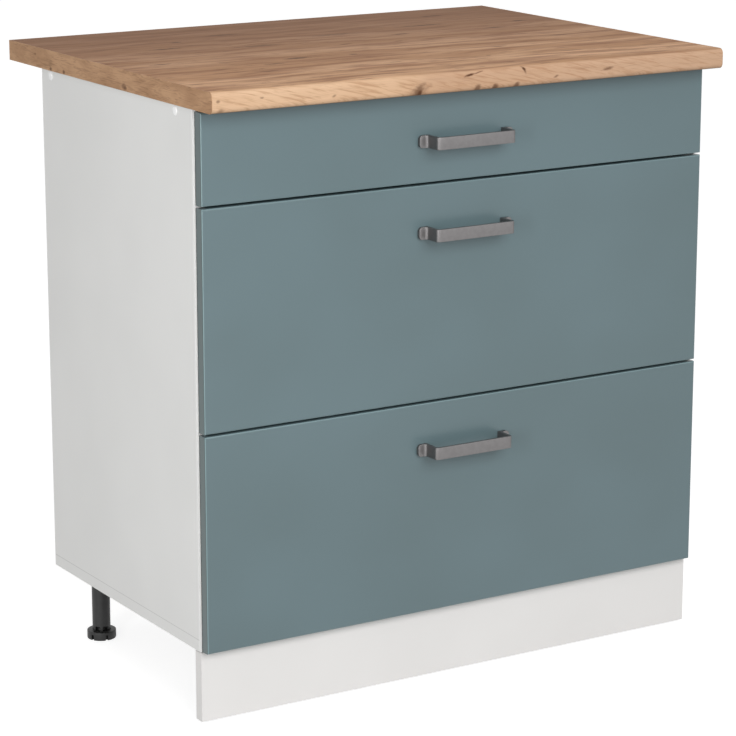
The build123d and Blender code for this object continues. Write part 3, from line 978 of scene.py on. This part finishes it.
def leg_tree():
    tree, given = new_tree("screw_leg", {
        "Plate Width": PLATE_WIDTH, "Plate Thickness": PLATE_THICKNESS, "Corner Radius": 8 * MM,
        "Tube Radius": TUBE_RADIUS, "Bore Radius": BORE_RADIUS, "Tube Length": TUBE_LENGTH,
        "Gussets": 8, "Gusset Reach": 11 * MM, "Gusset Height": 9 * MM, "Gusset Thickness": 2.2 * MM,
        "Window Pairs": 2, "Window Width": 7.5 * MM, "Window Height": 6.5 * MM,
        "Window Spread": math.radians(25.5), "Window Turn": math.radians(64), "Material": None,
    })
    drop = add(tree, "ShaderNodeMath", {0: given["Plate Thickness"], 1: -1.0}, operation="MULTIPLY")
    line = add(
        tree, "GeometryNodeCurvePrimitiveLine",
        {"End": add(tree, "ShaderNodeCombineXYZ", {"Z": drop})},
    )
    square = add(
        tree, "GeometryNodeCurvePrimitiveQuadrilateral",
        {"Width": given["Plate Width"], "Height": given["Plate Width"]},
    )
    rounded = add(
        tree, "GeometryNodeFilletCurve",
        {"Curve": square, "Radius": given["Corner Radius"], "Count": 6},
        mode="POLY",
    )
    plate = add(
        tree, "GeometryNodeCurveToMesh",
        {"Curve": line, "Profile Curve": rounded, "Fill Caps": True},
    )

    wall = add(
        tree, "ShaderNodeMath",
        {0: given["Tube Radius"], 1: given["Bore Radius"]},
        operation="SUBTRACT",
    )
    middle = add(
        tree, "ShaderNodeMath", {0: wall, 1: 0.5, 2: given["Bore Radius"]}, operation="MULTIPLY_ADD"
    )
    half_length = add(
        tree, "ShaderNodeMath", {0: given["Tube Length"], 1: 0.5}, operation="MULTIPLY"
    )
    ring = add(tree, "GeometryNodeCurvePrimitiveCircle", {"Resolution": 64, "Radius": middle})
    wall_section = add(
        tree, "GeometryNodeCurvePrimitiveQuadrilateral",
        {"Width": wall, "Height": given["Tube Length"]},
    )
    tube = add(
        tree, "GeometryNodeCurveToMesh",
        {"Curve": ring, "Profile Curve": wall_section, "Fill Caps": False},
    )
    tall = add(tree, "ShaderNodeMath", {0: given["Window Height"], 1: 2.0}, operation="MULTIPLY")
    deep = add(tree, "ShaderNodeMath", {0: wall, 1: 2.0}, operation="MULTIPLY")
    window = add(tree, "ShaderNodeCombineXYZ", {"X": deep, "Y": given["Window Width"], "Z": tall})
    tube_end = add(tree, "ShaderNodeMath", {0: half_length, 1: -1.0}, operation="MULTIPLY")
    windows = []
    for sign in (-1.0, 1.0):
        turn = add(
            tree, "ShaderNodeMath",
            {0: given["Window Spread"], 1: sign, 2: given["Window Turn"]},
            operation="MULTIPLY_ADD",
        )
        windows.append(cutters(tree, given["Window Pairs"], middle, turn, window, tube_end))
    open_tube = cut_away(tree, tube, windows)

    size = add(
        tree, "ShaderNodeCombineXYZ",
        {"X": given["Gusset Reach"], "Y": given["Gusset Thickness"], "Z": given["Gusset Height"]},
    )
    place = add(tree, "ShaderNodeSeparateXYZ", {0: add(tree, "GeometryNodeInputPosition")}).outputs
    low = add(tree, "ShaderNodeMath", {0: place["Z"], 1: 0.0}, operation="LESS_THAN")
    outer = add(tree, "ShaderNodeMath", {0: place["X"], 1: 0.0}, operation="GREATER_THAN")
    tapered = add(tree, "ShaderNodeMath", {0: low, 1: outer}, operation="MULTIPLY")
    inward = add(
        tree, "ShaderNodeMath", {0: tapered, 1: given["Gusset Reach"]}, operation="MULTIPLY"
    )
    offset = add(tree, "ShaderNodeMath", {0: inward, 1: -GUSSET_TAPER}, operation="MULTIPLY")
    taper = add(tree, "ShaderNodeCombineXYZ", {"X": offset})
    cube = add(tree, "GeometryNodeMeshCube", {"Size": size})
    gusset = add(tree, "GeometryNodeSetPosition", {"Geometry": cube, "Offset": taper})
    inputs = {"Vertices": given["Gussets"], "Radius": given["Tube Radius"]}
    spokes = add(tree, "GeometryNodeMeshCircle", inputs)
    outwards = add(
        tree, "FunctionNodeAlignRotationToVector",
        {"Vector": add(tree, "GeometryNodeInputPosition")},
        axis="X",
    )
    gussets = add(
        tree, "GeometryNodeInstanceOnPoints",
        {"Points": spokes, "Instance": gusset, "Rotation": outwards},
    )

    leg = add(tree, "GeometryNodeJoinGeometry")
    tube_height = add(tree, "ShaderNodeMath", {0: drop, 1: half_length}, operation="SUBTRACT")
    gusset_height = add(
        tree, "ShaderNodeMath",
        {0: given["Gusset Height"], 1: -0.5, 2: drop},
        operation="MULTIPLY_ADD",
    )
    for part in (plate, lifted(tree, open_tube, tube_height), lifted(tree, gussets, gusset_height)):
        link(tree, part, leg.inputs[0])
    standing = add(
        tree, "GeometryNodeInstanceOnPoints", {"Points": given["Geometry"], "Instance": leg}
    )
    finish_tree(tree, standing, given["Material"])
    return tree


leg_points = points_at(
    "leg_points", [((c.x, c.y, LEG_HIGH.z), (0, 0, -1)) for c in FOOT_CENTRES.values()]
)
legs = grow("legs_moulded", leg_points, leg_tree(), {"Material": black_moulded})
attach(legs, "cabinet")
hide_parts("legs")

# %% [markdown]
# ## Feet: castellated discs on a screw
#
# Each foot is a disc with square notches round its lower rim, so that it can be turned by hand or
# with a key, two pairs of moulding pockets in its top, and a threaded spindle. The thread is a
# loft whose radius follows the turn and the height together, which a modifier such as Screw would
# also make, but not with runouts at its ends. The notches and pockets are cutters, repeated round
# the axis by Geometry Nodes and taken away with a Mesh Boolean.

# %% Feet
NOTCH_WIDTH, NOTCH_DEPTH, NOTCH_HEIGHT = 4.0, 4.5, 8.0
DISC_HEIGHT = 12.0
FOOT_TURNS = {
    "foot_front_left": 34.0, "foot_front_right": 22.1, "foot_rear_left": 25.0, "foot_rear_right": 6.8,
}
THREAD_PITCH, THREAD_DEPTH, SPINDLE_RADIUS = 3.0, 0.9, 9.0
THREAD_FLANK, THREAD_PEAK = 6.0, 2.2  # its peak is cut flat at 1
STEPS_PER_PITCH = 6
RIM = 0.8
ROUND_SIDES = 48


def foot_blank(radius, spindle_top):
    """A disc with softened edges, run up into a threaded spindle."""
    edge = radius - RIM
    profile = [(edge, 0.0)] + [(edge + x, RIM + z) for x, z in arc((0, 0), RIM, -60, 0, 3)]
    profile += [(edge + x, DISC_HEIGHT - RIM + z) for x, z in arc((0, 0), RIM, 0, 90, 4)]
    profile += [(SPINDLE_RADIUS - THREAD_DEPTH, DISC_HEIGHT)]
    rings = [[(r, z)] * ROUND_SIDES for r, z in profile]
    length = spindle_top - DISC_HEIGHT
    steps = round(length * STEPS_PER_PITCH / THREAD_PITCH)
    for step in range(1, steps + 1):
        z = DISC_HEIGHT + step * length / steps
        runout = min(1.0, (z - DISC_HEIGHT) / THREAD_PITCH, (spindle_top - z) / THREAD_PITCH)
        ring = []
        for side in range(ROUND_SIDES):
            phase = (z / THREAD_PITCH - side / ROUND_SIDES) % 1.0
            crest = min(1.0, max(0.0, THREAD_PEAK - THREAD_FLANK * abs(phase - 0.5)))
            ring.append((SPINDLE_RADIUS - THREAD_DEPTH * (1.0 - crest * runout), z))
        rings.append(ring)
    angles = [2 * math.pi * side / ROUND_SIDES for side in range(ROUND_SIDES)]
    points, faces = loft([
        [(r * math.cos(a) * MM, r * math.sin(a) * MM, z * MM) for a, (r, z) in zip(angles, ring)]
        for ring in rings
    ])
    mesh = bpy.data.meshes.new("foot_blank")
    mesh.from_pydata(points, [], faces)
    return mesh


def foot_tree():
    tree, given = new_tree("castellated_foot", {
        "Disc Radius": 20.8 * MM, "Notches": 6, "Notch Width": NOTCH_WIDTH * MM,
        "Notch Depth": NOTCH_DEPTH * MM, "Notch Height": NOTCH_HEIGHT * MM,
        "Pocket Pairs": 2, "Pocket Spread": math.radians(22), "Pocket Width": 7.0 * MM,
        "Pocket Length": 5.0 * MM, "Pocket Depth": 3.5 * MM, "Pocket Start": TUBE_RADIUS,
        "Disc Height": DISC_HEIGHT * MM, "Turn": 0.0, "Material": None,
    })
    long = add(tree, "ShaderNodeMath", {0: given["Notch Depth"], 1: 2.0}, operation="MULTIPLY")
    tall = add(tree, "ShaderNodeMath", {0: given["Notch Height"], 1: 2.0}, operation="MULTIPLY")
    notch = add(tree, "ShaderNodeCombineXYZ", {"X": long, "Y": given["Notch Width"], "Z": tall})
    cuts = [cutters(tree, given["Notches"], given["Disc Radius"], given["Turn"], notch, 0.0)]
    tall = add(tree, "ShaderNodeMath", {0: given["Pocket Depth"], 1: 2.0}, operation="MULTIPLY")
    pocket = add(
        tree, "ShaderNodeCombineXYZ",
        {"X": given["Pocket Length"], "Y": given["Pocket Width"], "Z": tall},
    )
    pocket_radius = add(
        tree, "ShaderNodeMath",
        {0: given["Pocket Length"], 1: 0.5, 2: given["Pocket Start"]},
        operation="MULTIPLY_ADD",
    )
    between = add(tree, "ShaderNodeMath", {0: math.pi, 1: given["Notches"]}, operation="DIVIDE")
    for sign in (-1.0, 1.0):
        spread = add(
            tree, "ShaderNodeMath",
            {0: given["Pocket Spread"], 1: sign, 2: between},
            operation="MULTIPLY_ADD",
        )
        turn = add(tree, "ShaderNodeMath", {0: given["Turn"], 1: spread}, operation="ADD")
        cuts.append(
            cutters(tree, given["Pocket Pairs"], pocket_radius, turn, pocket, given["Disc Height"])
        )
    finish_tree(tree, cut_away(tree, given["Geometry"], cuts), given["Material"])
    return tree


foot_shape = foot_tree()
for name, (low, high) in FOOT_BOXES.items():
    radius = (high.x - low.x) / 2
    blank = foot_blank(radius / MM, high.z / MM)
    foot = grow(name + "_moulded", blank, foot_shape, {
        "Disc Radius": radius, "Turn": math.radians(FOOT_TURNS[name]), "Material": black_moulded,
    })
    centre = FOOT_CENTRES[name]
    foot.data.transform(Matrix.Translation((centre.x, centre.y, low.z)))
    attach(foot, name)
    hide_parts(name)

# %% [markdown]
# ## Screws, rivets, caps and buffers
#
# Every small round thing here is a low dome that sits on a face: a pan head with a cross recess, a
# rivet head, a plastic cap over a screw, or a clear buffer. They are points with a facing
# attribute, and one tree turns each point into a head. A sphere whose lower half is pressed flat
# makes a closed dome, and a cross of two blocks is cut from it where a screwdriver goes in.

# %% Round heads tree
CROSS_BLADE = 0.26  # of the cross's size


def heads_tree():
    tree, given = new_tree("round_heads", {
        "Head Radius": 3.6 * MM, "Dome Height": 2.0 * MM, "Cross Recess": True,
        "Cross Size": 3.8 * MM, "Cross Depth": 1.2 * MM, "Material": None,
    })
    ball = add(tree, "GeometryNodeMeshUVSphere", {"Segments": 24, "Rings": 10, "Radius": 1.0})
    place = add(tree, "ShaderNodeSeparateXYZ", {0: add(tree, "GeometryNodeInputPosition")}).outputs
    height = add(tree, "ShaderNodeMath", {0: place["Z"], 1: 0.0}, operation="MAXIMUM")
    pressed = add(tree, "ShaderNodeCombineXYZ", {"X": place["X"], "Y": place["Y"], "Z": height})
    flat = add(tree, "GeometryNodeSetPosition", {"Geometry": ball, "Position": pressed})
    size = add(
        tree, "ShaderNodeCombineXYZ",
        {"X": given["Head Radius"], "Y": given["Head Radius"], "Z": given["Dome Height"]},
    )
    dome = add(tree, "GeometryNodeTransform", {"Geometry": flat, "Scale": size})
    merged = add(tree, "GeometryNodeMergeByDistance", {"Geometry": dome, "Distance": 1e-6})
    blade = add(
        tree, "ShaderNodeMath", {0: given["Cross Size"], 1: CROSS_BLADE}, operation="MULTIPLY"
    )
    deep = add(tree, "ShaderNodeMath", {0: given["Cross Depth"], 1: 2.0}, operation="MULTIPLY")
    cross = []
    for wide, long in ((given["Cross Size"], blade), (blade, given["Cross Size"])):
        size = add(tree, "ShaderNodeCombineXYZ", {"X": wide, "Y": long, "Z": deep})
        cube = add(tree, "GeometryNodeMeshCube", {"Size": size})
        cross.append(lifted(tree, cube, given["Dome Height"]))
    recessed = cut_away(tree, merged, cross)
    chosen = add(
        tree, "GeometryNodeSwitch",
        {"Switch": given["Cross Recess"], "False": merged, "True": recessed},
        input_type="GEOMETRY",
    )
    facing = add(tree, "GeometryNodeInputNamedAttribute", {"Name": "facing"}, data_type="FLOAT_VECTOR")
    way = add(
        tree, "FunctionNodeAlignRotationToVector", {"Vector": facing.outputs["Attribute"]}, axis="Z"
    )
    set_down = add(
        tree, "GeometryNodeInstanceOnPoints",
        {"Points": given["Geometry"], "Instance": chosen, "Rotation": way},
    )
    finish_tree(tree, set_down, given["Material"])
    return tree


def head(material, radius_mm, dome_mm, cross_mm=0.0, cross_depth_mm=0.0):
    """The tree's inputs for one kind of head, which has no recess without a cross."""
    return {
        "Material": material, "Head Radius": radius_mm * MM, "Dome Height": dome_mm * MM,
        "Cross Recess": cross_mm > 0, "Cross Size": cross_mm * MM, "Cross Depth": cross_depth_mm * MM,
    }


CAP = head(cap_plastic, 6.5, 1.8)
BUFFER = head(rubber, 4.5, 1.2)
RIVET = head(zinc_plate, 4.2, 0.6)
SCREW = head(zinc_plate, 3.6, 2.0, 3.8, 1.2)
SUNK_SCREW = head(zinc_plate, 5.0, 0.8, 5.0, 0.5)
RUNNER_SCREW = head(zinc_plate, 3.6, 1.0, 3.8, 0.6)
DRAWER_SCREW = head(zinc_plate, 3.6, 1.8, 3.8, 1.2)
TO_RIGHT, TO_LEFT = (1, 0, 0), (-1, 0, 0)
TO_REAR, TO_FRONT, DOWNWARDS = (0, 1, 0), (0, -1, 0), (0, 0, -1)
round_heads = heads_tree()


def heads(name, body, places, kind):
    """One mesh of round heads for one body, from points in millimetres and the ways they face."""
    base = points_at(name + "_points", [([c * MM for c in point], way) for point, way in places])
    piece = grow(name, base, round_heads, kind)
    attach(piece, body)


def mirrored(places):
    """The places, and their mirror images on the right side."""
    return places + [((-x, y, z), (-a, b, c)) for (x, y, z), (a, b, c) in places]


def mm_box(node):
    """The lowest corner, the middle and the highest corner of a node in millimetres."""
    low, high = (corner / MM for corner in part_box(node))
    return low, (low + high) / 2, high


print("Kinds of head: cap, buffer, rivet and four screws")

# %% [markdown]
# ## Where the fasteners sit on the cabinet
#
# Their places follow from the boards: the long screws through a side enter the middle of the rail
# behind it, those through the bottom enter the middle of a side, and each leg plate has four.
# Only the two caps near the top of the left side show in the photograph. The rest is what holds
# such a cabinet together, and shows from below, from behind or with a drawer open.

# %% Cabinet fasteners
BOTTOM_SCREW_INSET = 80.0
PLATE_SCREW_STEP = 21.6
WORKTOP_SCREW_X = 192.0

side_low, side_middle, _ = mm_box("side_left")
front_rail_low, front_rail, _ = mm_box("front_rail")
rear_rail = mm_box("rear_rail")[1]
bottom_low, _, bottom_high = mm_box("bottom_panel")
rail_rows = (front_rail.y, rear_rail.y)
caps = [((side_low.x, y, front_rail.z), TO_LEFT) for y in rail_rows]
heads("screw_caps", "cabinet", mirrored(caps), CAP)
through_bottom = [
    ((side_middle.x, y, bottom_low.z), DOWNWARDS)
    for y in (bottom_low.y + BOTTOM_SCREW_INSET, bottom_high.y - BOTTOM_SCREW_INSET)
]
heads("bottom_screws", "cabinet", mirrored(through_bottom), SUNK_SCREW)
plate_z = (LEG_HIGH.z - PLATE_THICKNESS) / MM
plate_screws = [
    ((c.x / MM + dx, c.y / MM + dy, plate_z), DOWNWARDS)
    for c in FOOT_CENTRES.values()
    for dx in (-PLATE_SCREW_STEP, PLATE_SCREW_STEP)
    for dy in (-PLATE_SCREW_STEP, PLATE_SCREW_STEP)
]
up_screws = [((-WORKTOP_SCREW_X, y, front_rail_low.z), DOWNWARDS) for y in rail_rows]
heads("leg_and_worktop_screws", "cabinet", plate_screws + mirrored(up_screws), SCREW)

# %% [markdown]
# ## Runner screws, axle rivets and buffers
#
# Each cabinet runner is held by three screws in its web, whose flat heads leave room for the rear
# roller's axle to pass. That axle is riveted over, and so is the front roller's. A clear buffer
# behind the top corners of each front takes the knock when the drawer shuts.

# %% Runner fasteners and buffers
SHEET = 1.2
SCREW_LINE_Z = 14.5
SCREWS_ALONG = (0.087, 0.5255, 0.964)  # of the runner's length
AXLE_END_X = 10.3
BUFFER_DROP = 16.0

runner_screws, axle_rivets, buffers = [], [], []
for level in LEVELS:
    runner_low, _, runner_high = mm_box(level + "_runners")
    axle = mm_box(level + "_front_rollers")[1]
    front_high = mm_box(level + "_drawer_front")[2]
    for share in SCREWS_ALONG:
        y = runner_low.y + share * (runner_high.y - runner_low.y)
        runner_screws.append(((runner_low.x + SHEET, y, runner_low.z + SCREW_LINE_Z), TO_RIGHT))
    axle_rivets.append(((runner_low.x + AXLE_END_X, axle.y, axle.z), TO_RIGHT))
    buffers.append(((side_middle.x, side_low.y, front_high.z - BUFFER_DROP), TO_FRONT))
heads("runner_screws", "cabinet", mirrored(runner_screws), RUNNER_SCREW)
heads("front_axle_rivets", "cabinet", mirrored(axle_rivets), RIVET)
heads("front_buffers", "cabinet", mirrored(buffers), BUFFER)

# %% [markdown]
# ## Fasteners on each drawer
#
# A drawer's bottom board lies on the flanges of its steel sides and is screwed from below, its
# back is held by two screws on each side, and its front by a bracket and by the handle's own
# screws, whose heads are inside.

# %% Drawer fasteners
HANDLE_SCREW_X = 64.0
FLANGE_SCREW_X = 8.1
FLANGE_SCREW_INSETS = (60.0, 58.8)
BACK_SCREW_INSETS = (21.2, 9.6)
BRACKET_SCREW_X, BRACKET_SCREW_INSET, BRACKET_SHEET = 11.4, 5.0, 1.5
AXLE_PAST_ROLLER = 0.6


def set_in(low, high, from_low, from_high):
    """Two places between a low and a high end, each this far in from its end."""
    return low + from_low, high - from_high


for level in LEVELS:
    drawer = level + "_drawer"
    floor_low, _, floor_high = mm_box(drawer + "_floor")
    back_low, _, back_high = mm_box(drawer + "_back")
    flange_low, _, flange_high = mm_box(drawer + "_side_left")
    bracket_low, _, bracket_high = mm_box(drawer + "_brackets")
    front_high = mm_box(drawer + "_front")[2]
    screw_x = floor_low.x + FLANGE_SCREW_X
    bracket_x = bracket_low.x + BRACKET_SCREW_X
    places = [
        ((screw_x, y, flange_low.z), DOWNWARDS)
        for y in set_in(floor_low.y, floor_high.y, *FLANGE_SCREW_INSETS)
    ]
    places += [
        ((screw_x, flange_high.y, z), TO_REAR)
        for z in set_in(back_low.z, back_high.z, *BACK_SCREW_INSETS)
    ]
    places += [
        ((bracket_x, front_high.y + BRACKET_SHEET, z), TO_REAR)
        for z in set_in(bracket_low.z, bracket_high.z, BRACKET_SCREW_INSET, BRACKET_SCREW_INSET)
    ]
    places.append(((-HANDLE_SCREW_X, front_high.y, mm_box(level + "_handle")[1].z), TO_REAR))
    heads(drawer + "_screws", drawer, mirrored(places), DRAWER_SCREW)
    roller_low, axle, _ = mm_box(level + "_rear_rollers")
    rivet = [((roller_low.x - AXLE_PAST_ROLLER, axle.y, axle.z), TO_LEFT)]
    heads(drawer + "_rivets", drawer, mirrored(rivet), RIVET)
